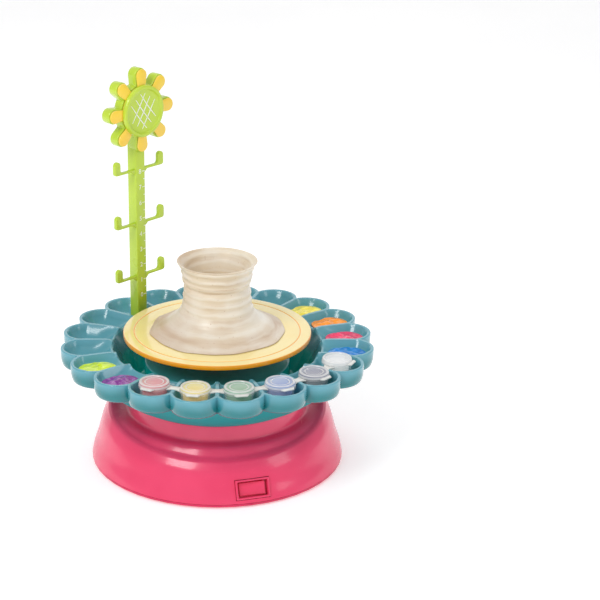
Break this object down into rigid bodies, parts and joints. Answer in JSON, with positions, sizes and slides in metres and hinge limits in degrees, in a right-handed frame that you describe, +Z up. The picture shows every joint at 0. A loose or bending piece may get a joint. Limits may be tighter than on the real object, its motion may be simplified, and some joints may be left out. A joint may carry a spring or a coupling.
{
  "type": "pottery wheel",
  "caption": "Child's electric pottery wheel: domed base, flower-shaped paint tray, turntable with clay pot, strip of lidded paint pots and a ruler post with hooks and a flower.",
  "frame": {"origin": "on the wheel's axis, at the level of the rubber feet", "axes": "+Z up along the spindle; -Y is the front, where the strip of paint pots sits; +X is to the right seen from the front"},
  "size_m": [0.1876, 0.1876, 0.2315],
  "materials": {
    "pink_shell": "glossy moulded pink plastic",
    "magenta_cover": "satin moulded magenta plastic",
    "teal_tray": "glossy moulded teal plastic",
    "cream_turntable": "glossy cream yellow plastic with orange rim and rings",
    "orange_hub": "moulded orange plastic",
    "lime_post": "satin moulded lime green plastic",
    "golden_petals": "satin moulded golden yellow plastic",
    "wet_clay": "wheel-thrown damp beige clay",
    "clear_pot": "translucent polypropylene",
    "white_plastic": "moulded white acetal",
    "steel": "bright turned steel",
    "rubber": "matte black rubber",
    "battery_wrap": "plain wrapped dry cell",
    "black_plastic": "matte black plastic",
    "paint_lime": "wet lime paint",
    "paint_purple": "wet purple paint",
    "paint_blue": "wet blue paint",
    "paint_pink": "wet pink paint",
    "paint_orange": "wet orange paint",
    "paint_yellow": "wet yellow paint",
    "pot_red": "red poster paint",
    "lid_red": "translucent lid tinted red",
    "pot_yellow": "yellow poster paint",
    "lid_yellow": "translucent lid tinted yellow",
    "pot_green": "green poster paint",
    "lid_green": "translucent lid tinted green",
    "pot_blue": "blue poster paint",
    "lid_blue": "translucent lid tinted blue",
    "pot_black": "black poster paint",
    "lid_black": "translucent lid tinted black",
    "pot_white": "white poster paint",
    "lid_white": "translucent lid tinted white"
  },
  "bodies": {
    "base": {"base_shell": "pink_shell", "bottom_cover": "magenta_cover", "rubber_foot_1": "rubber", "rubber_foot_2": "rubber", "rubber_foot_3": "rubber", "rubber_foot_4": "rubber", "cover_screw_1": "steel", "cover_screw_2": "steel", "cover_screw_3": "steel", "cover_screw_4": "steel", "battery_1": "battery_wrap", "battery_2": "battery_wrap", "battery_3": "battery_wrap", "battery_4": "battery_wrap", "contact_plate_front": "steel", "contact_plate_back": "steel", "gearbox_plate": "white_plastic", "plate_screw_1": "steel", "plate_screw_2": "steel", "plate_screw_3": "steel", "motor": "steel", "gear_axle": "steel", "spindle_bush": "white_plastic", "switch_bezel": "pink_shell", "switch_housing": "black_plastic", "flower_tray": "teal_tray", "tray_skirt": "teal_tray", "paint_lime": "paint_lime", "paint_purple": "paint_purple", "paint_blue": "paint_blue", "paint_pink": "paint_pink", "paint_orange": "paint_orange", "paint_yellow": "paint_yellow"},
    "turntable": {"turntable": "cream_turntable", "drive_hub": "orange_hub", "spindle": "steel", "output_gear": "white_plastic"},
    "compound_gear": {"compound_gear": "white_plastic"},
    "motor_pinion": {"motor_pinion": "white_plastic", "motor_shaft": "steel"},
    "switch_rocker": {"switch_rocker": "pink_shell"},
    "battery_door": {"battery_door": "magenta_cover"},
    "measuring_post": {"measuring_post": "lime_post", "flower_head": "lime_post", "petal_insert": "golden_petals", "flower_center": "lime_post"},
    "clay_pot": {"clay_pot": "wet_clay"},
    "paint_pots": {"paint_pot_strip": "clear_pot", "pot_paint_1": "pot_red", "pot_paint_2": "pot_yellow", "pot_paint_3": "pot_green", "pot_paint_4": "pot_blue", "pot_paint_5": "pot_black", "pot_paint_6": "pot_white"},
    "pot_lid_1": {"pot_lid_1": "lid_red"},
    "pot_lid_2": {"pot_lid_2": "lid_yellow"},
    "pot_lid_3": {"pot_lid_3": "lid_green"},
    "pot_lid_4": {"pot_lid_4": "lid_blue"},
    "pot_lid_5": {"pot_lid_5": "lid_black"},
    "pot_lid_6": {"pot_lid_6": "lid_white"}
  },
  "joints": [
    {"name": "turntable_spin", "type": "hinge", "parent": "base", "child": "turntable", "pos_m": [0, 0, 0.08], "axis": [0, 0, 1], "continuous": true},
    {"name": "compound_spin", "type": "hinge", "parent": "base", "child": "compound_gear", "pos_m": [0, -0.02492, 0.03], "axis": [0, 0, 1], "continuous": true},
    {"name": "pinion_spin", "type": "hinge", "parent": "base", "child": "motor_pinion", "pos_m": [0.01604, -0.03418, 0.03], "axis": [0, 0, 1], "continuous": true},
    {"name": "power_switch", "type": "hinge", "parent": "base", "child": "switch_rocker", "pos_m": [0.02015, -0.0689, 0.00951], "axis": [-0.1051, 0.3595, 0.9272], "range_deg": [0, 10]},
    {"name": "battery_door_hinge", "type": "hinge", "parent": "base", "child": "battery_door", "pos_m": [0, 0.0527, 0.001], "axis": [1, 0, 0], "range_deg": [0, 80]},
    {"name": "post_lift", "type": "slide", "parent": "base", "child": "measuring_post", "axis": [0, 0, 1], "range_m": [0, 0.03]},
    {"name": "pot_lift", "type": "slide", "parent": "turntable", "child": "clay_pot", "axis": [0, 0, 1], "range_m": [0, 0.05]},
    {"name": "pots_lift", "type": "slide", "parent": "base", "child": "paint_pots", "axis": [0, 0, 1], "range_m": [0, 0.03]},
    {"name": "lid_1_hinge", "type": "hinge", "parent": "paint_pots", "child": "pot_lid_1", "pos_m": [-0.03173, -0.06228, 0.0765], "axis": [-0.891, 0.454, 0], "range_deg": [0, 110]},
    {"name": "lid_2_hinge", "type": "hinge", "parent": "paint_pots", "child": "pot_lid_2", "pos_m": [-0.01094, -0.06904, 0.0765], "axis": [-0.9877, 0.1564, 0], "range_deg": [0, 110]},
    {"name": "lid_3_hinge", "type": "hinge", "parent": "paint_pots", "child": "pot_lid_3", "pos_m": [0.01094, -0.06904, 0.0765], "axis": [-0.9877, -0.1564, 0], "range_deg": [0, 110]},
    {"name": "lid_4_hinge", "type": "hinge", "parent": "paint_pots", "child": "pot_lid_4", "pos_m": [0.03173, -0.06228, 0.0765], "axis": [-0.891, -0.454, 0], "range_deg": [0, 110]},
    {"name": "lid_5_hinge", "type": "hinge", "parent": "paint_pots", "child": "pot_lid_5", "pos_m": [0.04943, -0.04943, 0.0765], "axis": [-0.7071, -0.7071, 0], "range_deg": [0, 110]},
    {"name": "lid_6_hinge", "type": "hinge", "parent": "paint_pots", "child": "pot_lid_6", "pos_m": [0.06228, -0.03173, 0.0765], "axis": [-0.454, -0.891, 0], "range_deg": [0, 110]}
  ],
  "couplings": [
    {"joint": "compound_spin", "follows": "turntable_spin", "ratio": -4.1667},
    {"joint": "pinion_spin", "follows": "turntable_spin", "ratio": 15}
  ]
}
